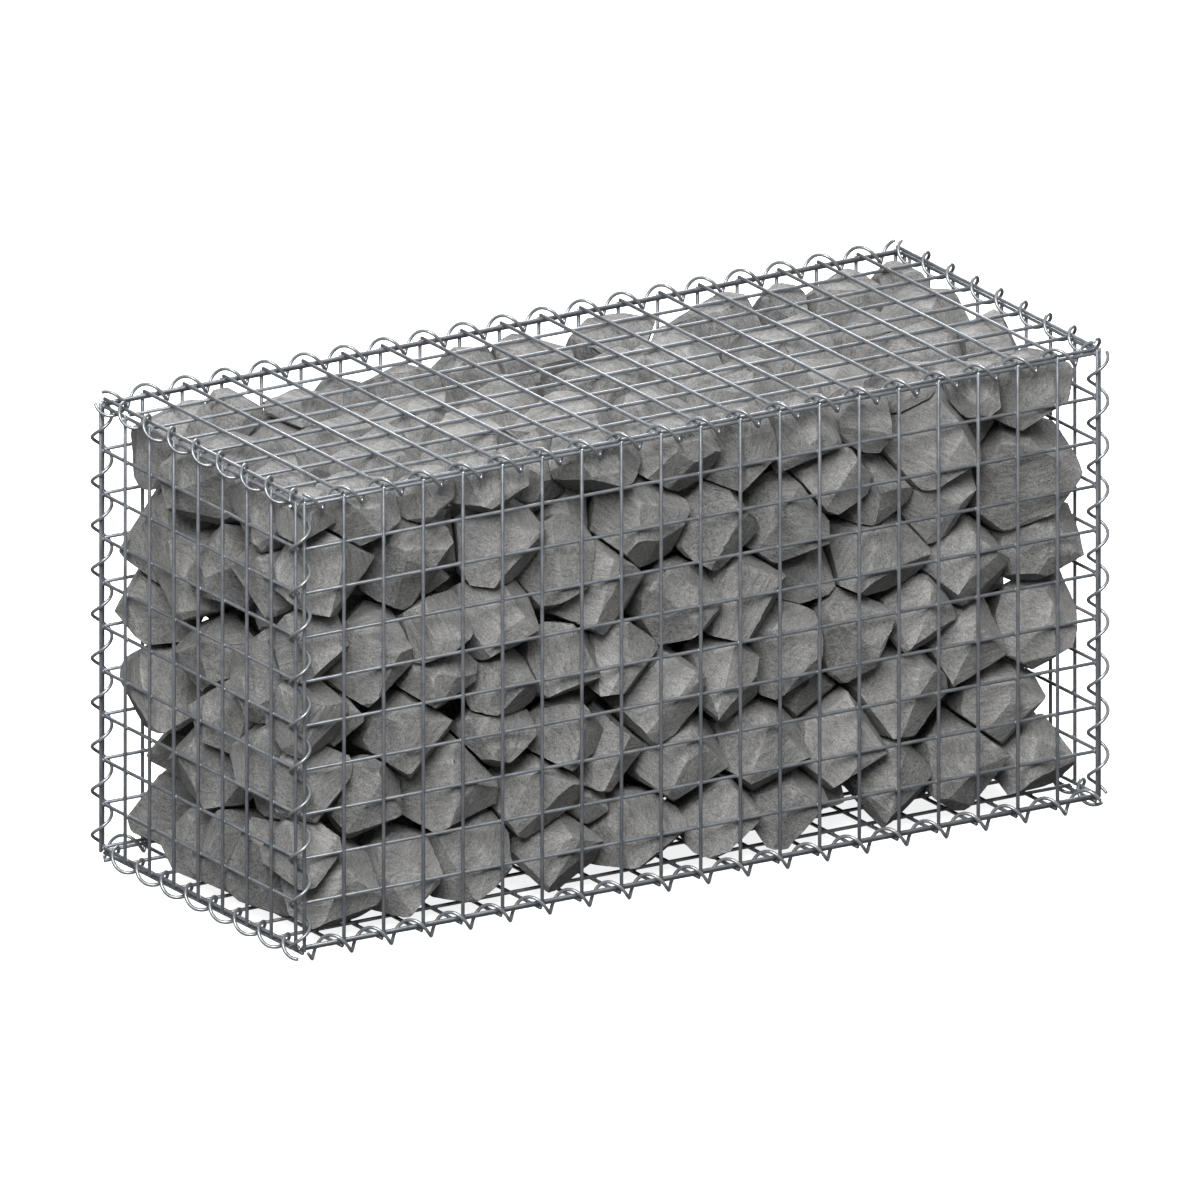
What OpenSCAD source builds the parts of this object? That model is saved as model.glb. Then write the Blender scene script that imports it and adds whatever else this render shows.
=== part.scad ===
// Welded-mesh gabion basket filled with angular quarry stone.
// Six flat panels of welded wire are laced together along all twelve edges by
// wire spirals that are screwed on from one end, and the basket is packed with
// loose stones. Millimetres, Z up, origin on the ground under the middle.

/* [Basket] */
// Length between the edge wires of the two ends
length = 1000; // [400:10:1200]
// Depth between the edge wires of the front and the back
depth = 400; // [300:10:500]
// Height between the edge wires of the base and the lid
height = 500; // [300:10:600]
// Width of one mesh cell, evened out so that whole cells fill each side
cell = 50; // [40:1:70]

/* [Wire] */
// Thickness of the panel wires
wire_d = 4; // [3:0.5:5]
// How deep two crossing wires are pressed into each other by the weld
weld_sink = 0.5; // [0.3:0.1:0.8]
// Thickness of the spiral wire
spiral_wire_d = 3.9; // [2.5:0.1:5]
// Room between the wires that a spiral holds and its inside
spiral_play = 1.9; // [1.5:0.1:4]

/* [Stones] */
// Joint left between two stones that lean on each other
stone_joint = 0.4; // [0.2:0.1:0.8]
// Room between the stones and the wires around them
stone_room = 0.4; // [0.2:0.1:1]

/* [Hidden] */

// Overhang of the inner wires past the last crossing of a panel
inner_end = 1;
// Air between the cut wire ends of one panel and the wires of the next
panel_gap = 0.3;
// Play left to a spiral where it is drawn against the wires
spiral_seat = 0.5;
// Bars of the panels have six flat sides
wire_sides = 6;

// Whole mesh cells along the length, across the depth and up the height
cells_long = round(length / cell);
cells_deep = round(depth / cell);
cells_high = round(height / cell);
// Spacing of the wires in those three directions
pitch = [length / cells_long, depth / cells_deep, height / cells_high];

// Distance between the middles of a panel's two layers of wire
layer_step = wire_d - weld_sink;
// How far a panel's inner wires lie outside the edge wires of its neighbours
panel_step = wire_d / 2 + inner_end + panel_gap;
// Overhang of the outer wires, which stop short of the next panel's outer wires
outer_end = panel_step + layer_step - wire_d / 2 - 2 * panel_gap;

// Each spiral wraps the two edge wires that lie side by side at its axis
spiral_r = norm([panel_step, layer_step]) + wire_d / 2 + spiral_play + spiral_wire_d / 2;
spiral_out_r = spiral_r + spiral_wire_d / 2;
// A long spiral that no stone wedges is drawn this far over, against the cross wires
spiral_draw = spiral_play - spiral_seat;
spiral_sides = 4;
spiral_steps = 8;
// Corners of the spiral wire stand out so that its flat sides keep the wire thickness
spiral_corner_r = spiral_wire_d / 2 / cos(180 / spiral_sides);

// The basket rests on the undersides of the base spirals
base_z = panel_step + spiral_out_r;
axis_x = length / 2 + panel_step;
axis_y = depth / 2 + panel_step;
low_z = base_z - panel_step;
high_z = base_z + height + panel_step;

panel_colour = [0.47, 0.50, 0.53];
spiral_colour = [0.58, 0.60, 0.62];
stone_colour = [0.50, 0.49, 0.47];

// One straight wire along Z, with a flat side facing +Y and -Y
module wire(run) {
    cylinder(d = wire_d / cos(180 / wire_sides), h = run, center = true, $fn = wire_sides);
}

// A flat welded panel about its middle: the wires along X lie in the plane Z = 0
// and the wires along Y lie on top of them, on the outside of the basket
module mesh_panel(cells_x, pitch_x, cells_y, pitch_y) {
    for (i = [0 : cells_x])
        translate([(i - cells_x / 2) * pitch_x, 0, layer_step])
            rotate([90, 0, 0])
                wire(cells_y * pitch_y + 2 * outer_end);
    for (j = [0 : cells_y])
        translate([0, (j - cells_y / 2) * pitch_y, 0])
            rotate([90, 0, 90])
                wire(cells_x * pitch_x + 2 * inner_end);
}

// The three kinds of panel: base and lid, front and back, and the two ends
module flat_panel() { mesh_panel(cells_long, pitch.x, cells_deep, pitch.y); }
module long_panel() { mesh_panel(cells_long, pitch.x, cells_high, pitch.z); }
module end_panel() { mesh_panel(cells_deep, pitch.y, cells_high, pitch.z); }

module base_panel() {
    color(panel_colour)
        translate([0, 0, low_z]) rotate([180, 0, 0]) flat_panel();
}

module lid_panel() {
    color(panel_colour)
        translate([0, 0, high_z]) flat_panel();
}

module front_panel() {
    color(panel_colour)
        translate([0, -axis_y, base_z + height / 2]) rotate([90, 0, 0]) long_panel();
}

module back_panel() {
    color(panel_colour)
        translate([0, axis_y, base_z + height / 2]) rotate([90, 0, 180]) long_panel();
}

module left_end_panel() {
    color(panel_colour)
        translate([-axis_x, 0, base_z + height / 2]) rotate([90, 0, -90]) end_panel();
}

module right_end_panel() {
    color(panel_colour)
        translate([axis_x, 0, base_z + height / 2]) rotate([90, 0, 90]) end_panel();
}

// One ring of the spiral wire, square to the wire where it stands at this angle
function spiral_ring(turn, rise, start_angle) =
    let (
        a = start_angle + 360 * turn,
        outward = [cos(a), sin(a), 0],
        along = [-2 * PI * spiral_r * sin(a), 2 * PI * spiral_r * cos(a), rise],
        side = cross(along, outward) / norm(along)
    )
    [for (k = [0 : spiral_sides - 1])
        let (s = 360 * (k + 0.5) / spiral_sides)
        outward * (spiral_r + spiral_corner_r * cos(s))
        + side * (spiral_corner_r * sin(s))
        + [0, 0, turn * rise]];

// A right-handed spiral about Z that rises one mesh cell a turn
module spiral(turns, rise, start_angle) {
    rings = turns * spiral_steps;
    n = spiral_sides;
    points = [for (r = [0 : rings]) each spiral_ring(r / spiral_steps, rise, start_angle)];
    skin = [for (r = [0 : rings - 1], k = [0 : n - 1])
        let (a = r * n + k, b = r * n + (k + 1) % n)
        each [[a, a + n, b], [b, a + n, b + n]]];
    start_cap = [[for (k = [0 : n - 1]) k]];
    end_cap = [[for (k = [n - 1 : -1 : 0]) rings * n + k]];
    polyhedron(points, concat(skin, start_cap, end_cap));
}

// Spirals along the length: the angle is taken from +Y towards +Z
module spiral_along_x(y, z, start_angle) {
    color(spiral_colour)
        translate([-length / 2, y, z]) rotate([90, 0, 90]) spiral(cells_long, pitch.x, start_angle);
}

// Spirals across the depth: the angle is taken from +Z towards +X
module spiral_along_y(x, z, start_angle) {
    color(spiral_colour)
        translate([x, -depth / 2, z]) rotate([-90, 0, 0]) rotate(-90) spiral(cells_deep, pitch.y, start_angle);
}

// Upright spirals: the angle is taken from +X towards +Y
module spiral_along_z(x, y, start_angle) {
    color(spiral_colour)
        translate([x, y, base_z]) spiral(cells_high, pitch.z, start_angle);
}

module base_front_spiral() { spiral_along_x(-axis_y, low_z, 180); }
module base_back_spiral() { spiral_along_x(axis_y, low_z + spiral_draw, 270); }
module base_left_spiral() { spiral_along_y(-axis_x, low_z, 180); }
module base_right_spiral() { spiral_along_y(axis_x, low_z, 135); }
module front_left_spiral() { spiral_along_z(-axis_x, -axis_y, 148); }
module front_right_spiral() { spiral_along_z(axis_x, -axis_y, 0); }
module back_left_spiral() { spiral_along_z(-axis_x, axis_y, 47); }
module back_right_spiral() { spiral_along_z(axis_x, axis_y, 47); }
module lid_front_spiral() { spiral_along_x(-axis_y, high_z - spiral_draw, 90); }
module lid_back_spiral() { spiral_along_x(axis_y, high_z, 58); }
module lid_left_spiral() { spiral_along_y(-axis_x, high_z, 279); }
module lid_right_spiral() { spiral_along_y(axis_x, high_z, 0); }

// The tables of stones count in twentieths of the length, eighths of the depth and tenths
// of the height, so that the fill keeps filling a basket of another size
stone_grid = [20, 8, 10];
stone_unit = [length / stone_grid.x, depth / stone_grid.y, height / stone_grid.z];
function in_units(shares) = [for (k = [0 : 2]) shares[k] * stone_unit[k]];

// Stones picked out for the front: place along the length, height, half width, half
// height and extra depth behind the mesh, as shares of those units
front_stone_shares = [
    [0.35, 9.55, 0.75, 0.60, 0.0], [1.87, 9.37, 1.05, 0.65, 0.0], [3.49, 9.43, 0.57, 0.65, 0.1],
    [5.09, 9.40, 0.93, 0.64, 0.0], [6.80, 9.00, 0.90, 0.80, 0.9], [7.84, 9.40, 1.18, 0.60, 0.0],
    [9.93, 9.29, 1.02, 0.75, 0.0], [11.47, 9.07, 0.77, 0.98, 0.0], [13.03, 9.20, 0.93, 0.73, 0.0],
    [14.56, 9.17, 0.68, 0.68, 0.1], [15.93, 9.53, 0.77, 0.50, 0.6], [17.31, 9.43, 0.61, 0.65, 0.0],
    [18.80, 9.16, 0.93, 0.80, 0.0], [1.09, 8.13, 0.97, 0.98, 0.0], [3.11, 8.07, 0.91, 0.89, 0.0],
    [4.27, 7.93, 0.60, 0.70, 0.9], [5.47, 7.97, 1.05, 0.91, 0.0], [6.87, 7.27, 0.77, 1.00, 0.0],
    [7.47, 8.07, 0.70, 0.70, 1.0], [9.04, 7.83, 1.03, 0.97, 0.0], [10.87, 7.47, 0.91, 0.92, 0.0],
    [12.71, 7.24, 1.10, 1.05, 0.0], [13.76, 8.03, 0.90, 0.97, 0.0], [14.96, 7.47, 0.78, 0.79, 0.2],
    [16.29, 8.40, 1.23, 1.00, 0.0], [16.53, 7.07, 0.97, 0.85, 0.2], [17.67, 8.40, 0.70, 0.70, 0.9],
    [18.67, 7.16, 1.15, 1.30, 0.0], [0.73, 6.49, 0.78, 0.79, 0.1], [2.24, 5.97, 0.95, 0.93, 0.0],
    [3.67, 7.40, 0.75, 0.50, 0.7], [3.76, 6.31, 0.87, 0.72, 0.0], [5.31, 6.33, 0.93, 0.98, 0.0],
    [7.89, 6.57, 1.12, 1.00, 0.0], [9.93, 5.89, 0.97, 0.91, 0.0], [11.49, 5.77, 1.02, 0.98, 0.0],
    [13.27, 5.87, 0.80, 0.81, 0.6], [15.00, 6.07, 1.13, 0.90, 0.0], [17.13, 5.51, 0.98, 0.95, 0.0],
    [19.07, 5.67, 0.93, 0.89, 0.0], [0.55, 4.89, 0.75, 0.85, 0.0], [1.53, 4.60, 0.60, 0.60, 0.6],
    [3.87, 5.27, 0.98, 0.62, 0.0], [5.40, 4.80, 0.80, 0.75, 0.0], [3.11, 4.13, 0.97, 0.81, 0.0],
    [7.00, 5.07, 0.88, 0.85, 0.0], [8.33, 4.93, 0.98, 0.88, 0.0], [9.53, 3.84, 1.09, 1.02, 0.0],
    [11.09, 4.04, 0.97, 0.87, 0.0], [12.64, 4.36, 0.83, 1.10, 0.0], [14.24, 4.47, 0.89, 1.00, 0.0],
    [16.00, 4.64, 0.87, 0.79, 0.0], [17.16, 3.73, 0.93, 0.87, 0.0], [19.04, 3.83, 0.92, 1.09, 0.0],
    [0.65, 3.40, 0.90, 0.78, 0.0], [2.04, 2.87, 0.82, 0.87, 0.0], [5.23, 3.67, 1.00, 0.68, 0.0],
    [7.07, 3.40, 0.87, 0.89, 0.0], [4.27, 2.76, 1.07, 1.03, 0.0], [8.03, 2.80, 0.63, 0.98, 0.1],
    [9.97, 2.33, 1.07, 0.95, 0.0], [13.23, 3.29, 0.77, 0.60, 0.6], [12.07, 2.23, 0.99, 0.95, 0.0],
    [14.00, 2.03, 1.01, 0.97, 0.0], [15.60, 2.93, 1.22, 0.93, 0.0], [18.07, 2.27, 0.99, 0.75, 0.0],
    [0.50, 1.87, 0.75, 0.82, 0.0], [1.37, 0.95, 0.93, 0.95, 0.0], [2.96, 0.95, 1.00, 0.91, 0.1],
    [4.64, 1.05, 1.07, 0.95, 0.0], [6.36, 2.24, 1.05, 0.77, 0.0], [6.87, 0.85, 0.90, 0.67, 0.0],
    [7.73, 1.73, 0.50, 0.45, 0.5], [8.93, 0.92, 1.18, 0.85, 0.0], [10.93, 0.92, 0.90, 0.89, 0.0],
    [12.67, 0.82, 0.83, 0.78, 0.0], [15.27, 1.00, 0.87, 0.92, 0.0], [13.80, 1.00, 0.60, 0.70, 0.8],
    [17.04, 1.00, 1.03, 0.89, 0.0], [18.80, 0.85, 0.80, 0.75, 0.0]
];

// Stones picked out for the left end, between the front and back rows: place across
// the depth from the front, height, half width, half height and extra distance inward
end_stone_shares = [
    [2.60, 9.10, 1.05, 0.90, 0.0], [5.00, 9.00, 1.20, 1.00, 0.0], [2.55, 7.55, 0.95, 0.80, 0.1],
    [4.10, 7.35, 0.90, 0.85, 0.0], [5.55, 6.75, 1.10, 0.90, 0.0], [3.00, 6.20, 0.85, 0.75, 0.8],
    [2.60, 5.25, 1.00, 1.05, 0.0], [4.70, 5.05, 1.00, 0.90, 0.0], [3.90, 4.05, 0.90, 0.90, 0.0],
    [2.50, 3.45, 1.00, 0.80, 0.0], [4.90, 2.60, 1.05, 1.00, 0.0], [2.80, 2.35, 0.85, 0.70, 0.7],
    [2.60, 1.05, 1.00, 1.00, 0.0], [4.15, 0.90, 0.90, 0.85, 0.0], [5.35, 0.80, 0.80, 0.75, 0.1]
];

// Spacing of the stones in the core along, across and up, and their half size, as
// shares of those units
core_spacing_shares = [2.25, 2, 2.45];
core_half_share = 1.2;
// How far a core stone strays from its place in the rows
core_stray_share = 0.28;
// Thickness of a face stone from front to back, as a share of its middling size
thick_share = 0.95;
// How far the middle of a face stone lies behind the mesh, as a share of its half thickness
stand_share = 1.08;

// A stone is its middle and its three half sizes. A face stone stands just behind the mesh.
front_corner = [-length / 2, -depth / 2, base_z];
function middling(s) = (s[2] + s[3]) / 2;
function front_stone(s) =
    let (thick = thick_share * middling(s))
    [
        front_corner + in_units([s[0], stand_share * thick + s[4], s[1]]),
        in_units([s[2], thick, s[3]])
    ];
function end_stone(s) =
    let (thick = thick_share * middling(s))
    [
        front_corner + in_units([stand_share * thick + s[4], s[0], s[1]]),
        in_units([thick, s[2], s[3]])
    ];
// The far sides repeat the near ones, turned half round
function half_turn(stone) = [[-stone[0].x, -stone[0].y, stone[0].z], stone[1]];

// Core stones fill the rows that the face stones leave
face_rows = [4, 4, 0];
core_grid = stone_grid - face_rows;
core_counts = [for (k = [0 : 2]) max(1, floor(core_grid[k] / core_spacing_shares[k]))];
core_stones = [
    for (i = [0 : core_counts.x - 1], j = [0 : core_counts.y - 1], k = [0 : core_counts.z - 1])
        let (
            stray = rands(-core_stray_share, core_stray_share, 3, i + 100 * j + 1000 * k),
            row_shift = (k % 2 - 0.5) / 2,
            x = (i + 0.5 + row_shift) / core_counts.x * core_grid.x - core_grid.x / 2,
            y = (j + 0.5) / core_counts.y * core_grid.y - core_grid.y / 2,
            z = (k + 0.5) / core_counts.z * core_grid.z
        )
        [
            in_units([x, y, z] + stray) + [0, 0, base_z],
            core_half_share * stone_unit
        ]
];

near_stones = concat(
    [for (s = front_stone_shares) front_stone(s)],
    [for (s = end_stone_shares) end_stone(s)]
);
stones = concat(near_stones, [for (s = near_stones) half_turn(s)], core_stones);

courses = 5;
function course_of(stone) =
    min(courses, max(1, 1 + floor((stone[0].z - base_z) / height * courses)));

// Reach of a rough stone's corners beyond its middling half size, as a share
corner_reach_share = 1.4;
// How far out the second block knocks off the corners of the first, as a share
corner_cut_share = 0.93;
// Largest tilt of a stone's main faces and of its corner cuts, in degrees
main_tilt = 26;
cut_tilt = 20;

function half_size(stone) = (stone[1].x + stone[1].y + stone[1].z) / 3;

// Directions of the three axes after a turn about X, then Y, then Z
function turned_axes(turn) =
    let (c = [for (a = turn) cos(a)], s = [for (a = turn) sin(a)])
    [
        [c.y * c.z, c.y * s.z, -s.y],
        [s.x * s.y * c.z - c.x * s.z, s.x * s.y * s.z + c.x * c.z, s.x * c.y],
        [c.x * s.y * c.z + s.x * s.z, c.x * s.y * s.z - s.x * c.z, c.x * c.y]
    ];

// Half sizes of the turned block that just holds a round lump of the given half sizes
function block_round(halves, turn) = [
    for (axis = turned_axes(turn)) norm([halves.x * axis.x, halves.y * axis.y, halves.z * axis.z])
];

// A broken stone: a tilted block whose corners a second, turned block knocks off flat
module rough_stone(halves, seed) {
    t = rands(-1, 1, 6, seed);
    cut_turn = [45, 0, 45] + cut_tilt * [t[3], t[4], t[5]];
    intersection() {
        rotate(main_tilt * [t[0], t[1], t[2]])
            cube(2 * halves, center = true);
        rotate(cut_turn)
            cube(2 * corner_cut_share * block_round(halves, cut_turn), center = true);
    }
}

// The side of the joint plane between two stones that the first stone keeps
module near_side(stone, other) {
    between = other[0] - stone[0];
    gap = norm(between);
    near = half_size(stone);
    far = half_size(other);
    reach = 4 * max(stone[1]);
    plane = (gap * gap + near * near - far * far) / (2 * gap) - stone_joint / 2;
    rotate([0, acos(between.z / gap), atan2(between.y, between.x)])
        translate([-reach / 2, -reach / 2, plane - reach])
            cube(reach);
}

// One stone, leaning flat on each neighbour that comes near enough
module stone(i) {
    this = stones[i];
    reach = corner_reach_share * max(this[1]);
    near = [for (j = [0 : len(stones) - 1])
        if (j != i && norm(stones[j][0] - this[0]) < reach + corner_reach_share * max(stones[j][1])) j];
    translate(this[0])
        intersection() {
            rough_stone(this[1], i);
            intersection_for (j = near) near_side(this, stones[j]);
        }
}

// The room that the wires and spirals leave for the stones
module fill_room() {
    wall = panel_step - wire_d / 2 - stone_room;
    box = [length, depth, height] + 2 * [wall, wall, wall];
    corner = (spiral_out_r + stone_room) * sqrt(2) - 2 * (panel_step - wall);
    sides = [for (k = [0 : 2]) ((box[(k + 1) % 3] + box[(k + 2) % 3]) / 2 - corner) * sqrt(2)];
    long = norm(box);
    translate([0, 0, base_z + height / 2])
        intersection() {
            cube(box, center = true);
            rotate([45, 0, 0]) cube([long, sides.x, sides.x], center = true);
            rotate([0, 45, 0]) cube([sides.y, long, sides.y], center = true);
            rotate([0, 0, 45]) cube([sides.z, sides.z, long], center = true);
        }
}

module stone_course(course) {
    color(stone_colour)
        intersection() {
            fill_room();
            union()
                for (i = [0 : len(stones) - 1])
                    if (course_of(stones[i]) == course) stone(i);
        }
}

base_panel();
front_panel();
back_panel();
left_end_panel();
right_end_panel();
lid_panel();
base_front_spiral();
base_back_spiral();
base_left_spiral();
base_right_spiral();
front_left_spiral();
front_right_spiral();
back_left_spiral();
back_right_spiral();
lid_front_spiral();
lid_back_spiral();
lid_left_spiral();
lid_right_spiral();
stone_course(1);  // stone_course_1
stone_course(2);  // stone_course_2
stone_course(3);  // stone_course_3
stone_course(4);  // stone_course_4
stone_course(5);  // stone_course_5
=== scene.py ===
import math

import bmesh
import bpy
import numpy as np
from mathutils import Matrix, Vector, noise


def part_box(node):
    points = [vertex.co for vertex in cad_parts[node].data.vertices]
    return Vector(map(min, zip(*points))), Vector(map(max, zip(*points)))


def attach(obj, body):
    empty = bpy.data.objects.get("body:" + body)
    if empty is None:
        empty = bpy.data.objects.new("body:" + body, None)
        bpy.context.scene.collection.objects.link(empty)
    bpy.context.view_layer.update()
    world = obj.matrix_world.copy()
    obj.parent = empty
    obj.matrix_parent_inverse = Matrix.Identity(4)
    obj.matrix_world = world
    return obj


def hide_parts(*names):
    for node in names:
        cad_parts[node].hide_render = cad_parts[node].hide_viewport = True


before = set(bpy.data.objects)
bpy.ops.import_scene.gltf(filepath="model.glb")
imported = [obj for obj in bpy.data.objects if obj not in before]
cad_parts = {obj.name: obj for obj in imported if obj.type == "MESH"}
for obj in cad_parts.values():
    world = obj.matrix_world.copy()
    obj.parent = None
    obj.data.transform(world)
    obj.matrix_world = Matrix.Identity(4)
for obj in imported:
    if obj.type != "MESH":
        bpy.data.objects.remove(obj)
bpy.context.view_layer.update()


# Mesh panels: six flat sheets of zinc-coated steel wire in two layers, the wires across on the
# inside and the others outside. The wires are pressed into each other and welded at every
# crossing, and each sheet is cut so that short wire ends stand past its last welds.
cells = (20, 8, 10)
cell = 0.05
panel_wire = 0.004
panel_sides = 12
# How deep the layers are pressed into each other, and how far their ends stand past the welds
weld_sink = 0.0005
inner_end = 0.001
outer_end = 0.0042
# From the edge of the basket to the middle of a panel's inner wires, and on to its outer ones
panel_step = 0.0033
layer_step = panel_wire - weld_sink
# Broken edge of a cut wire end, as a share of the wire
cut_edge_share = 0.14
# Lump of metal at a weld, and how far the lumps differ from each other
bead_reach, bead_reach_range = 0.0034, (0.88, 1.08)
bead_half_thickness, bead_thickness_range = 0.0011, (0.8, 1.2)
bead_lump_range = (0.9, 1.1)
half_basket = np.array(cells) * cell / 2
basket_middle = np.array((0, 0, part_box("front_panel")[0].z + outer_end + half_basket[2]))


def drawn_wire(path, thickness, sides):
    """Points, round faces and flat ends of a wire along a path, with its cut edges broken."""
    path = np.asarray(path, float)
    radius, edge = thickness / 2, thickness * cut_edge_share
    along = np.gradient(path, axis=0)
    along /= np.linalg.norm(along, axis=1)[:, None]
    middles = np.vstack([path[0], path[0] + along[0] * edge, path[1:-1],
                         path[-1] - along[-1] * edge, path[-1]])
    along = np.vstack([along[0], along, along[-1]])
    radii = np.full(len(middles), radius)
    radii[[0, -1]] -= edge
    side = np.cross(along[0], np.eye(3)[np.argmin(np.abs(along[0]))])
    angles = np.arange(sides) * 2 * math.pi / sides
    rings = []
    for middle, ahead, size in zip(middles, along, radii):
        side = side - ahead * (side @ ahead)
        side /= np.linalg.norm(side)
        up = np.cross(ahead, side)
        ring = np.outer(np.cos(angles), side) + np.outer(np.sin(angles), up)
        rings.append(middle + size * ring)
    points = np.vstack(rings)
    faces = []
    for low in range(0, len(points) - sides, sides):
        for k in range(sides):
            turn = (k + 1) % sides
            faces.append((low + k, low + turn, low + sides + turn, low + sides + k))
    ends = [tuple(range(sides - 1, -1, -1)), tuple(range(len(points) - sides, len(points)))]
    return points, faces, ends


def bead_shape(around=8, rings=3):
    """Points and faces of a unit lump, as the squeezed-out metal round a weld."""
    points = [(0, 0, 1)]
    for ring in range(1, rings + 1):
        tip = math.pi * ring / (rings + 1)
        for k in range(around):
            turn = 2 * math.pi * k / around
            points.append((math.sin(tip) * math.cos(turn),
                           math.sin(tip) * math.sin(turn),
                           math.cos(tip)))
    points.append((0, 0, -1))
    last = len(points) - 1
    faces = []
    for k in range(around):
        turn = (k + 1) % around
        faces.append((0, 1 + k, 1 + turn))
        faces.append((last, last - around + turn, last - around + k))
        for ring in range(rings - 1):
            low = 1 + ring * around
            faces.append((low + k, low + around + k, low + around + turn, low + turn))
    return np.array(points, float), faces


def piece(name, parts, finish, node):
    """One object from parts of points, smooth faces and flat faces, standing for a CAD node."""
    points, faces, smooth, start = [], [], [], 0
    for part_points, round_faces, flat_faces in parts:
        for group, is_smooth in ((round_faces, True), (flat_faces, False)):
            faces += [tuple(start + k for k in face) for face in group]
            smooth += [is_smooth] * len(group)
        points.append(part_points)
        start += len(part_points)
    mesh = bpy.data.meshes.new(name)
    mesh.from_pydata(np.vstack(points).tolist(), [], faces)
    mesh.polygons.foreach_set("use_smooth", smooth)
    mesh.materials.append(finish)
    made = bpy.data.objects.new(name, mesh)
    bpy.context.scene.collection.objects.link(made)
    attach(made, "root")
    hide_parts(node)
    return made


class Tone:
    """A socket in a finish. Sums and products of tones add the Math nodes that work them out."""

    def __init__(self, tree, socket=None):
        self.tree, self.socket = tree, socket

    def node(self, kind, settings, inputs, output=0):
        """An output of a new node, whose settings are made before its sockets are filled."""
        made = self.tree.nodes.new(kind)
        for key, value in settings.items():
            setattr(made, key, value)
        for key, value in inputs.items():
            if isinstance(value, Tone):
                self.tree.links.new(value.socket, made.inputs[key])
            else:
                made.inputs[key].default_value = value
        return Tone(self.tree, made.outputs[output] if made.outputs else None)

    def maths(self, operation, first, second):
        return self.node("ShaderNodeMath", {"operation": operation}, {0: first, 1: second})

    def __add__(self, other):
        return self.maths("ADD", self, other)

    def __sub__(self, other):
        return self.maths("SUBTRACT", self, other)

    def __rsub__(self, other):
        return self.maths("SUBTRACT", other, self)

    def __mul__(self, other):
        return self.maths("MULTIPLY", self, other)

    __radd__ = __add__
    __rmul__ = __mul__

    def within(self, low, high):
        """0 below low, 1 above high and a smooth rise between."""
        return self.node("ShaderNodeMapRange", {"interpolation_type": "SMOOTHSTEP"},
                         {"Value": self, "From Min": low, "From Max": high})

    def colour(self, first, second):
        """The first colour at 0 and the second at 1, by the sockets that a Mix has for colours."""
        return self.node("ShaderNodeMix", {"data_type": "RGBA"}, {0: self, 6: first, 7: second}, 2)

    def clouds(self, scale, detail, roughness=0.5):
        """Cloudy values from 0 to 1 at these places, about so many clouds to the metre."""
        return self.node("ShaderNodeTexNoise", {}, {
            "Vector": self, "Scale": scale, "Detail": detail, "Roughness": roughness})


def new_finish(name):
    """A material with no nodes yet, and a tone to make them with."""
    material = bpy.data.materials.new(name)
    material.use_nodes = True
    material.node_tree.nodes.clear()
    return material, Tone(material.node_tree)


# Clouds and grit in the zinc, how many to the metre and how detailed, and crystals to the metre
zinc_cloud, zinc_grit, zinc_crystals = (70.0, 4.0), (1400.0, 2.0), 420.0
# Clouds that are darkest and palest, and the part of the crystals in the shade and in the relief
zinc_cloud_range = (0.3, 0.7)
crystal_share, crystal_relief = 0.3, 0.4
zinc_relief, zinc_relief_strength = 0.0002, 0.25
zinc_metallic = 0.57


def zinc(name, dark, light, sheen_low, sheen_high):
    """Zinc-coated wire: cloudy grey with small crystals, a little rough from the bath."""
    material, tone = new_finish(name)
    at = tone.node("ShaderNodeTexCoord", {}, {}, "Object")
    cloud = at.clouds(*zinc_cloud)
    crystal = tone.node("ShaderNodeTexVoronoi", {}, {"Vector": at, "Scale": zinc_crystals}, "Color")
    crystal = tone.node("ShaderNodeSeparateColor", {}, {"Color": crystal})
    grit = at.clouds(*zinc_grit)
    shade = cloud.within(*zinc_cloud_range) * (1 - crystal_share) + crystal * crystal_share
    bump = tone.node("ShaderNodeBump", {}, {
        "Strength": zinc_relief_strength,
        "Distance": zinc_relief,
        "Height": grit + crystal * crystal_relief,
    })
    surface = tone.node("ShaderNodeBsdfPrincipled", {}, {
        "Base Color": shade.colour(dark, light),
        "Metallic": zinc_metallic,
        "Roughness": sheen_low + (sheen_high - sheen_low) * cloud,
        "Normal": bump,
    })
    tone.node("ShaderNodeOutputMaterial", {}, {"Surface": surface})
    return material


panel_zinc = zinc("dull_zinc", dark=(0.18, 0.195, 0.213, 1), light=(0.285, 0.307, 0.33, 1),
                  sheen_low=0.28, sheen_high=0.4)
bead_points, bead_faces = bead_shape()
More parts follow.
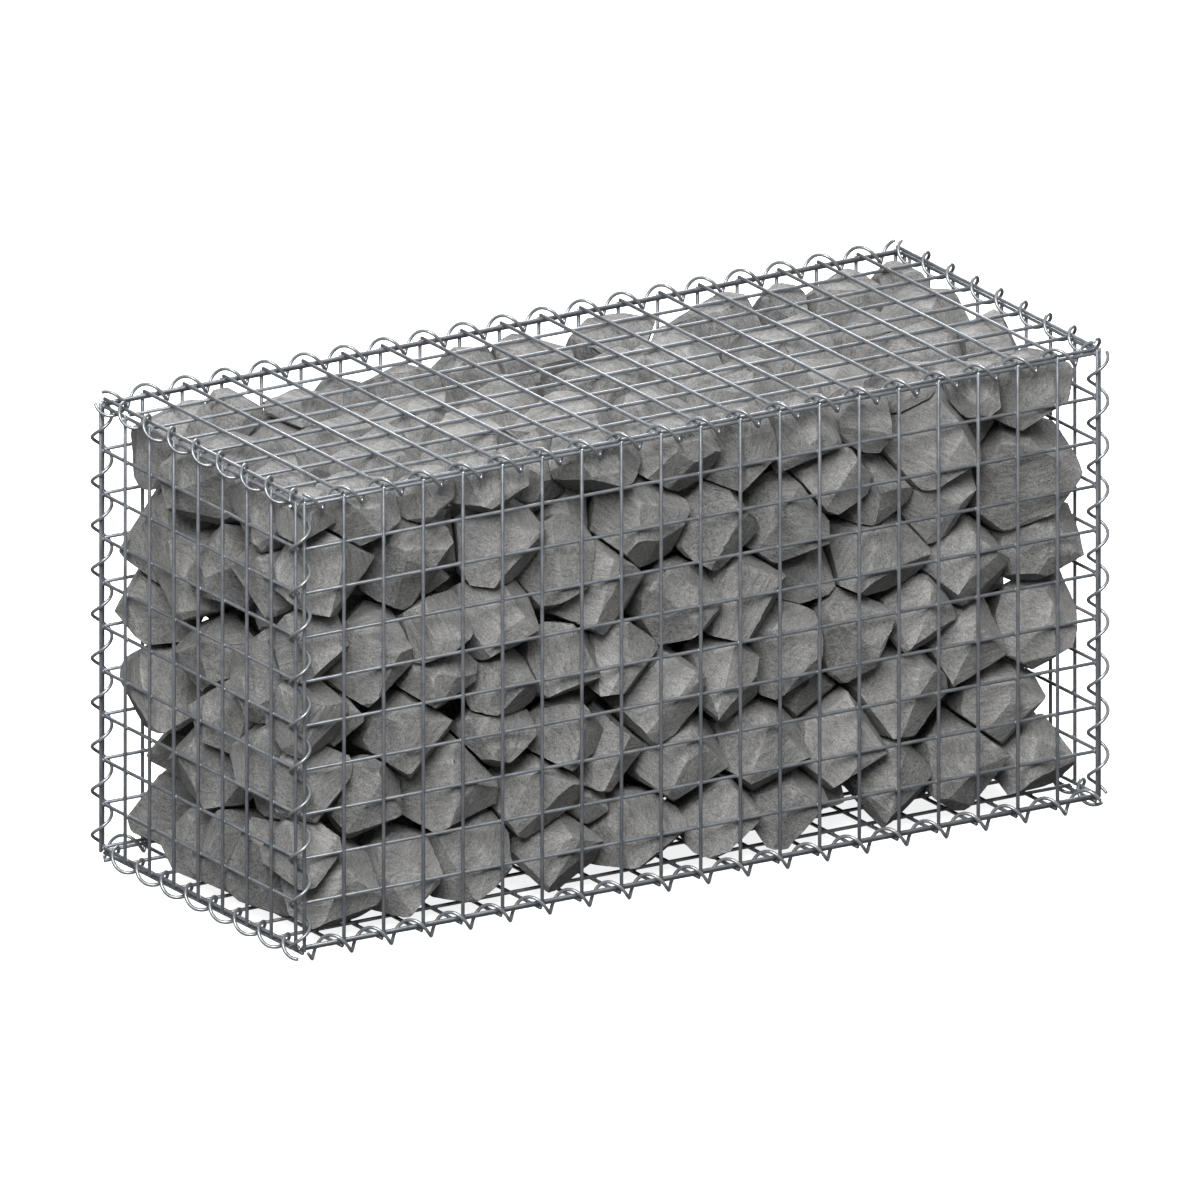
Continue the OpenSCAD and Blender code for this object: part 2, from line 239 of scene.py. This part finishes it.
# Axes that the inner wires run along, that the outer wires run along and that point out of the
# basket, and the side that they point to
panels = {
    "base_panel": (0, 1, 2, -1),
    "lid_panel": (0, 1, 2, 1),
    "front_panel": (0, 2, 1, -1),
    "back_panel": (0, 2, 1, 1),
    "left_end_panel": (1, 2, 0, -1),
    "right_end_panel": (1, 2, 0, 1),
}
for index, (name, (across, up, out, side)) in enumerate(panels.items()):
    draw = np.random.default_rng(index)
    plane = side * (half_basket[out] + panel_step)
    parts = []
    for run, other, end, level in ((across, up, inner_end, plane),
                                   (up, across, outer_end, plane + side * layer_step)):
        for k in range(cells[other] + 1):
            ends = np.zeros((2, 3))
            ends[:, run] = (half_basket[run] + end) * np.array((-1, 1))
            ends[:, other] = k * cell - half_basket[other]
            ends[:, out] = level
            parts.append(drawn_wire(basket_middle + ends, panel_wire, panel_sides))
    # Axes in a left-handed order turn a lump inside out, so its faces are turned back
    order = np.argsort((across, up, out))
    right_handed = (out - across) % 3 == 2
    bead = [face if right_handed else face[::-1] for face in bead_faces]
    for i, j in np.ndindex(cells[across] + 1, cells[up] + 1):
        at = np.zeros(3)
        at[across] = i * cell - half_basket[across]
        at[up] = j * cell - half_basket[up]
        at[out] = plane + side * layer_step / 2
        size = np.zeros(3)
        size[across], size[up] = bead_reach * draw.uniform(*bead_reach_range, 2)
        size[out] = bead_half_thickness * draw.uniform(*bead_thickness_range)
        lump = (bead_points * draw.uniform(*bead_lump_range, (len(bead_points), 1)))[:, order]
        parts.append((basket_middle + at + lump * size, bead, []))
    piece("welded_" + name, parts, panel_zinc, name)


# Spirals: springy zinc-coated wire wound one turn to a mesh cell, screwed in from one corner
# round the two edge wires of neighbouring panels, so that they lace the basket together. Their
# cut ends stay open at the corners.
spiral_wire = 0.0039
spiral_sides = 10
steps_a_turn = 28
spiral_low, spiral_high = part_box("base_front_spiral")
spiral_radius = (spiral_high.z - spiral_low.z - spiral_wire) / 2
# How far two of them are drawn up or down against the cross wires of their panel
spiral_draw = {"base_back_spiral": 0.0014, "lid_front_spiral": -0.0014}
spiral_zinc = zinc("bright_zinc", dark=(0.2, 0.212, 0.226, 1), light=(0.31, 0.325, 0.34, 1),
                   sheen_low=0.24, sheen_high=0.34)
# Axis that a spiral runs along, the sides of its edge on the next two axes, and the angle in
# degrees that it starts at
spirals = {
    "base_front_spiral": (0, -1, -1, 180),
    "base_back_spiral": (0, 1, -1, 270),
    "lid_front_spiral": (0, -1, 1, 90),
    "lid_back_spiral": (0, 1, 1, 58),
    "base_left_spiral": (1, -1, -1, 180),
    "base_right_spiral": (1, -1, 1, 135),
    "lid_left_spiral": (1, 1, -1, 279),
    "lid_right_spiral": (1, 1, 1, 0),
    "front_left_spiral": (2, -1, -1, 148),
    "front_right_spiral": (2, 1, -1, 0),
    "back_left_spiral": (2, -1, 1, 47),
    "back_right_spiral": (2, 1, 1, 47),
}
for name, (run, first_side, second_side, start) in spirals.items():
    turns = np.linspace(0, cells[run], cells[run] * steps_a_turn + 1)
    angle = math.radians(start) + 2 * math.pi * turns
    path = np.zeros((len(turns), 3))
    path[:, run] = turns * cell - half_basket[run]
    for axis, side, swing in (((run + 1) % 3, first_side, np.cos(angle)),
                              ((run + 2) % 3, second_side, np.sin(angle))):
        path[:, axis] = side * (half_basket[axis] + panel_step) + spiral_radius * swing
    path[:, 2] += spiral_draw.get(name, 0)
    piece("wound_" + name, [drawn_wire(basket_middle + path, spiral_wire, spiral_sides)],
          spiral_zinc, name)


# Stone fill: loose quarry stones about as wide as two mesh cells, broken with flat faces and
# worn a little along their edges. They are tipped in course by course and packed by hand along
# the faces, so each leans on its neighbours and none can pass the mesh.
courses = 5
first_seed = 101
# Knocked-off corners and spalled edges of a stone: how many, how much comes off at each, how far
# the breaks lean, and how much they differ
corner_chips, chip_share, chip_lean, chip_range = 4, 0.05, 0.22, (0.3, 1.6)
edge_chips, spall_depth, spall_lean, spall_range = 5, 0.006, 0.07, (0.2, 1.2)
spall_turn_range = (0.25, 0.75)
least_spalled = 4 * spall_depth
# Wear along an edge, how much it differs, and how soon a bend counts as worn and as painted
# highlight
edge_wear, wear_range, wear_and_highlight_gain = 0.0008, (0.35, 1.3), 25
# Faces that meet at less than this are one face
flat_angle = math.radians(1.5)
# Shortest and longest edges of the mesh, the longest on stones that lie too deep to be seen, how
# deep that is, and how often a long edge is halved
least_edge, longest_edge, hidden_edge = 0.0002, 0.0105, 0.03
out_of_sight = 0.045
most_halvings = 6
# Points of the fine mesh that are one, lengths taken as none, and the digits of a metre to which
# corners of a solid are the same
same_point = least_edge / 10
no_line, no_size, corner_digits = 1e-5, 1e-30, 5
# Sway and grit of the faces and nicks in the edges: how deep, and how many to the metre
face_sway, sway_scale = 0.0009, 32
face_grit, grit_scale = 0.0004, 110
edge_nick, nick_scale = 0.0035, 75
# Noise that leaves a face where it is, how far below zero nicks start, and how far apart the
# stones take their noise and their grain
noise_top, nick_start = 0.9, 0.1
noise_room, grain_room = 40, 3


def loose_stones(node):
    """Each stone of a course: the corner points of its solid."""
    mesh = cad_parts[node].data
    points = np.zeros(len(mesh.vertices) * 3)
    mesh.vertices.foreach_get("co", points)
    points = points.reshape(-1, 3)
    mesh.calc_loop_triangles()
    corners = np.zeros(len(mesh.loop_triangles) * 3, int)
    mesh.loop_triangles.foreach_get("vertices", corners)
    spots, same = np.unique(np.round(points, corner_digits), axis=0, return_inverse=True)
    triangles = same.ravel()[corners].reshape(-1, 3)
    # Each point takes the lowest number in its triangles until a stone has one number all over
    label = np.arange(len(spots))
    while True:
        lowest = label[triangles].min(axis=1)
        joined = label.copy()
        np.minimum.at(joined, triangles.ravel(), np.repeat(lowest, 3))
        if (joined == label).all():
            break
        label = joined
    return [spots[label == key] for key in np.unique(label)]


def hull(points):
    """A closed mesh of flat faces round the points."""
    solid = bmesh.new()
    for point in points:
        solid.verts.new(point)
    made = bmesh.ops.convex_hull(solid, input=solid.verts)
    left_over = made["geom_interior"] + made["geom_unused"]
    spare = {v for v in left_over if isinstance(v, bmesh.types.BMVert)}
    bmesh.ops.delete(solid, geom=list(spare), context="VERTS")
    bmesh.ops.dissolve_limit(solid, angle_limit=flat_angle, verts=solid.verts, edges=solid.edges)
    return solid


def clipped(polygon, normal, level):
    """The part of a flat polygon that lies below a plane."""
    kept = []
    heights = polygon @ normal - level
    for k in range(len(polygon)):
        a, b = heights[k - 1], heights[k]
        if (a < 0) != (b < 0):
            kept.append(polygon[k - 1] + (polygon[k] - polygon[k - 1]) * (a / (a - b)))
        if b < 0:
            kept.append(polygon[k])
    return np.array(kept)


def knock_off(solid, at, way):
    """Takes off what lies past a plane and closes the broken face."""
    bmesh.ops.bisect_plane(solid, geom=solid.verts[:] + solid.edges[:] + solid.faces[:],
                           plane_co=at, plane_no=way, clear_outer=True)
    bmesh.ops.holes_fill(solid, edges=[e for e in solid.edges if e.is_boundary])
    solid.normal_update()


def knocked_about(points, draw):
    """The solid of a stone with some corners knocked off and some edges spalled."""
    middle = points.mean(axis=0)
    solid = hull(points)
    solid.normal_update()
    corners = [np.array(v.co) for v in solid.verts]
    for corner in draw.permutation(len(corners))[:corner_chips]:
        way = corners[corner] - middle
        way = way / np.linalg.norm(way) + draw.normal(0, chip_lean, 3)
        way /= np.linalg.norm(way)
        reach = max((c - middle) @ way for c in corners)
        level = reach * (1 - chip_share * draw.uniform(*chip_range))
        knock_off(solid, middle + way * level, way)
    for _ in range(edge_chips):
        edges = [e for e in solid.edges
                 if len(e.link_faces) == 2 and e.calc_length() > least_spalled]
        edge = edges[draw.integers(len(edges))]
        first, second = (np.array(face.normal) for face in edge.link_faces)
        lean = draw.uniform(*spall_turn_range)
        way = first * lean + second * (1 - lean) + draw.normal(0, spall_lean, 3)
        way /= np.linalg.norm(way)
        depth = spall_depth * (1 - first @ second) * draw.uniform(*spall_range)
        knock_off(solid, np.mean([v.co for v in edge.verts], axis=0) - way * depth, way)
    return solid


def worn_faces(solid, draw):
    """Outlines of a solid's faces, each drawn in from its edges by the wear."""
    kept = []
    for face in solid.faces:
        polygon = np.array([v.co for v in face.verts])
        normal = np.array(face.normal)
        ring = polygon.copy()
        for k in range(len(ring)):
            line = ring[k] - ring[k - 1]
            if np.linalg.norm(line) < no_line or len(polygon) < 3:
                continue
            outward = np.cross(line, normal)
            outward /= np.linalg.norm(outward)
            level = ring[k] @ outward - edge_wear * draw.uniform(*wear_range)
            polygon = clipped(polygon, outward, level)
        if len(polygon) >= 3:
            kept.append(polygon)
    return kept


def fine_mesh(solid, longest):
    """Points and triangles, with the normals of both, of a solid whose long edges are halved."""
    bmesh.ops.remove_doubles(solid, verts=solid.verts, dist=least_edge)
    bmesh.ops.dissolve_degenerate(solid, dist=least_edge, edges=solid.edges)
    for _ in range(most_halvings):
        bmesh.ops.triangulate(solid, faces=solid.faces[:],
                              quad_method="BEAUTY", ngon_method="BEAUTY")
        long_edges = [e for e in solid.edges if e.calc_length() > longest]
        if not long_edges:
            break
        bmesh.ops.subdivide_edges(solid, edges=long_edges, cuts=1)
    bmesh.ops.remove_doubles(solid, verts=solid.verts, dist=same_point)
    bmesh.ops.triangulate(solid, faces=solid.faces[:])
    solid.normal_update()
    solid.verts.index_update()
    points = np.array([v.co for v in solid.verts])
    normals = np.array([v.normal for v in solid.verts])
    faces = np.array([[v.index for v in face.verts] for face in solid.faces])
    sides = np.array([face.normal for face in solid.faces])
    # Two faces on the same three points are a fold with nothing in it
    _, same, times = np.unique(np.sort(faces, axis=1), axis=0, return_inverse=True,
                               return_counts=True)
    single = times[same.ravel()] == 1
    used, faces = np.unique(faces[single], return_inverse=True)
    return points[used], normals[used], faces.reshape(-1, 3), sides[single]


def broken_stone(points, longest, draw):
    """Points, faces and edge mask of one stone, for worn nicks and a painted highlight: knocked
    about, worn, with uneven faces.
    """
    solid = knocked_about(points, draw)
    outlines = worn_faces(solid, draw)
    solid.free()
    solid = hull(np.vstack(outlines))
    made, normals, faces, sides = fine_mesh(solid, longest)
    solid.free()
    sums = np.zeros_like(made)
    np.add.at(sums, faces.ravel(), np.repeat(sides, 3, axis=0))
    bend = 1 - np.linalg.norm(sums, axis=1) / np.bincount(faces.ravel())
    # Bent edges get nicks here and, in the finish, a paler colour that is partly a painted
    # highlight
    wear_and_highlight = np.clip(wear_and_highlight_gain * bend, 0, 1)
    shift = Vector(draw.uniform(-noise_room, noise_room, 3))
    sink = np.array([
        face_sway * (noise.noise(Vector(p) * sway_scale + shift) - noise_top)
        + face_grit * (noise.noise(Vector(p) * grit_scale + shift) - noise_top)
        + edge_nick * worn * min(0, noise.noise(Vector(p) * nick_scale - shift) + nick_start)
        for p, worn in zip(made, wear_and_highlight)])
    return made + normals * sink[:, None], faces.tolist(), wear_and_highlight


def broad_normals(points, corners):
    """Normals at the points, in which large faces count for more and so look flat."""
    a, b, c = (points[corners[:, k]] for k in range(3))
    turned = np.cross(b - a, c - a)
    turned *= np.linalg.norm(turned, axis=1)[:, None]
    normals = np.zeros_like(points)
    for k in range(3):
        np.add.at(normals, corners[:, k], turned)
    return normals / np.maximum(np.linalg.norm(normals, axis=1), no_size)[:, None]


stone_dark, stone_light = (0.1, 0.099, 0.097, 1), (0.36, 0.356, 0.35, 1)
# Paler edge colour, partly worn stone and partly painted highlight, how much shows, and the patches
# it starts and ends at
pale_wear_and_highlight, pale_share, pale_range = (0.4, 0.395, 0.385, 1), 0.35, (-0.05, 0.12)
# Shade of a stone with no marks, and what the stone's own tone adds to it
stone_shade, own_share = 0.4, 0.25
# Dry, nearly matt faces: their roughness, what patches add to it, and their gloss and relief
stone_roughness, patch_roughness, stone_gloss = 0.87, 0.18, 0.3
stone_relief, stone_relief_strength = 0.0016, 0.7
# Marks in the stone: how many to the metre, their detail and its roughness, and their part in the
# shade and in the relief. Streaks are drawn out along the bedding.
stone_marks = {
    "cloud": (22.0, 5.0, 0.6, 0.2, 0.6),
    "patch": (95.0, 4.0, 0.65, 0.4, 0.7),
    "speck": (420.0, 3.0, 0.5, 0.9, 0.65),
    "sand": (1000.0, 2.0, 0.5, 1.7, 0.5),
    "streak": (260.0, 3.0, 0.5, 0.9, 0.85),
}
bedding = (1.0, 1.0, 0.09)
noise_middle = 0.5


def rough_stone_finish():
    """Dry grey quarry stone: cloudy, finely grained, with bedding streaks and paler edges, partly
    worn and partly a painted highlight.
    """
    material, tone = new_finish("quarry_stone")
    grain = tone.node("ShaderNodeAttribute", {"attribute_name": "grain"}, {}, "Vector")
    own = tone.node("ShaderNodeAttribute", {"attribute_name": "own_tone"}, {}, "Fac")
    wear_and_highlight = tone.node("ShaderNodeAttribute", {"attribute_name": "wear_and_highlight"}, {}, "Fac")
    drawn = tone.node("ShaderNodeVectorMath", {"operation": "MULTIPLY"}, {0: grain, 1: bedding})
    shade, height, marks = stone_shade + own_share * own, 0.0, {}
    for name, (scale, detail, roughness, in_shade, in_relief) in stone_marks.items():
        at = drawn if name == "streak" else grain
        marks[name] = at.clouds(scale, detail, roughness) - noise_middle
        shade = shade + in_shade * marks[name]
        height = height + in_relief * marks[name]
    base = shade.colour(stone_dark, stone_light)
    # Paler edges: partly worn stone and partly a painted highlight
    pale = wear_and_highlight * marks["patch"].within(*pale_range)
    bump = tone.node("ShaderNodeBump", {}, {
        "Strength": stone_relief_strength, "Distance": stone_relief, "Height": height})
    surface = tone.node("ShaderNodeBsdfPrincipled", {}, {
        "Base Color": (pale * pale_share).colour(base, pale_wear_and_highlight),
        "Roughness": stone_roughness + patch_roughness * marks["patch"],
        "Normal": bump,
        "Specular IOR Level": stone_gloss,
    })
    tone.node("ShaderNodeOutputMaterial", {}, {"Surface": surface})
    return material


stone_finish = rough_stone_finish()
for course in range(courses):
    node = f"stone_course_{course + 1}"
    draw = np.random.default_rng(first_seed + course)
    parts, wear_and_highlight, own, grain = [], [], [], []
    for points in loose_stones(node):
        hidden = (np.abs(points - basket_middle).max(axis=0) < half_basket - out_of_sight).all()
        longest = hidden_edge if hidden else longest_edge
        made, faces, stone_wear_and_highlight = broken_stone(points, longest, draw)
        parts.append((made, faces, []))
        wear_and_highlight.append(stone_wear_and_highlight)
        own.append(np.full(len(made), draw.uniform(0, 1)))
        turn, _ = np.linalg.qr(draw.normal(size=(3, 3)))
        place = draw.uniform(-grain_room, grain_room, 3)
        grain.append((made - made.mean(axis=0)) @ turn + place)
    mesh = piece(f"broken_stones_{course + 1}", parts, stone_finish, node).data
    # The edge mask goes to the finish, where it paints paler edges that are partly a painted
    # highlight
    for layer, kind, key, values in (("wear_and_highlight", "FLOAT", "value", np.concatenate(wear_and_highlight)),
                                     ("own_tone", "FLOAT", "value", np.concatenate(own)),
                                     ("grain", "FLOAT_VECTOR", "vector", np.vstack(grain))):
        data = mesh.attributes.new(layer, kind, "POINT").data
        data.foreach_set(key, values.astype(np.float32).ravel())
    corners = np.zeros(len(mesh.polygons) * 3, int)
    mesh.polygons.foreach_get("vertices", corners)
    normals = broad_normals(np.vstack([part[0] for part in parts]), corners.reshape(-1, 3))
    mesh.normals_split_custom_set_from_vertices(normals.tolist())


# Studio: a plain pale floor, a sky that is white overhead, a large soft light from above the front
# left corner and a weaker one from behind on the right. A grey card under the floor is seen only
# by reflections, so that the wires mirror a floor that isn't white.
sheet_size = 12
floor_white, floor_roughness, floor_glow = (0.97, 0.97, 0.97, 1), 0.9, 0.85
card_drop, card_glow = 0.01, 0.26
# Light of the sky below, what it gains overhead, and the heights that the gain lies between
sky_low, sky_gain, sky_from, sky_to = 0.045, 0.98, -0.15, 1.0


def studio_sheet(name, height, finish, unseen_by):
    """A level square sheet that some kinds of rays pass by."""
    half = sheet_size / 2
    corners = [(-half, -half, height), (half, -half, height),
               (half, half, height), (-half, half, height)]
    mesh = bpy.data.meshes.new(name)
    mesh.from_pydata(corners, [], [(0, 1, 2, 3)])
    mesh.materials.append(finish)
    sheet = bpy.data.objects.new(name, mesh)
    bpy.context.scene.collection.objects.link(sheet)
    for rays in unseen_by:
        setattr(sheet, "visible_" + rays, False)


def aim(made, way):
    """Puts a light or a camera into the scene so that it looks one way."""
    made.rotation_mode = "QUATERNION"
    made.rotation_quaternion = Vector(way).to_track_quat("-Z", "Y")
    bpy.context.scene.collection.objects.link(made)


def soft_light(name, strength, spread, way):
    """A light so far off that it shines one way all over, as wide as the spread in degrees."""
    light = bpy.data.lights.new(name, "SUN")
    light.energy, light.angle = strength, math.radians(spread)
    aim(bpy.data.objects.new(name, light), way)


material, tone = new_finish("pale_floor")
surface = tone.node("ShaderNodeBsdfPrincipled", {}, {
    "Base Color": floor_white,
    "Roughness": floor_roughness,
    "Emission Color": (1, 1, 1, 1),
    "Emission Strength": floor_glow,
})
tone.node("ShaderNodeOutputMaterial", {}, {"Surface": surface})
studio_sheet("floor", 0, material, unseen_by=("diffuse", "glossy"))
material, tone = new_finish("grey_card")
surface = tone.node("ShaderNodeEmission", {}, {"Strength": card_glow})
tone.node("ShaderNodeOutputMaterial", {}, {"Surface": surface})
studio_sheet("grey_card", -card_drop, material, unseen_by=("camera", "diffuse", "shadow"))

world = bpy.data.worlds.new("studio")
bpy.context.scene.world = world
world.use_nodes = True
world.node_tree.nodes.clear()
tone = Tone(world.node_tree)
way = tone.node("ShaderNodeTexCoord", {}, {}, "Generated")
rise = tone.node("ShaderNodeSeparateXYZ", {}, {"Vector": way}, "Z")
sky = tone.node("ShaderNodeBackground", {}, {
    "Strength": sky_low + sky_gain * rise.within(sky_from, sky_to)})
tone.node("ShaderNodeOutputWorld", {}, {"Surface": sky})
soft_light("key", strength=4.15, spread=34, way=(0.46, 0.54, -0.7))
soft_light("rim", strength=2.0, spread=28, way=(-0.47, -0.72, -0.5))


# Camera: a parallel view from the left of the front and a little above, just wide enough to hold
# the whole basket in a square picture.
azimuth, elevation = math.radians(-31.57), math.radians(18.2)
view_width = 1.2896
camera_distance = 4
back = Vector((math.sin(azimuth) * math.cos(elevation),
               -math.cos(azimuth) * math.cos(elevation),
               math.sin(elevation)))
lens = bpy.data.cameras.new("camera")
lens.type = "ORTHO"
lens.ortho_scale = view_width
camera = bpy.data.objects.new("camera", lens)
camera.location = Vector(basket_middle) + back * camera_distance
aim(camera, -back)
bpy.context.scene.camera = camera
bpy.context.scene.view_settings.view_transform = "Standard"
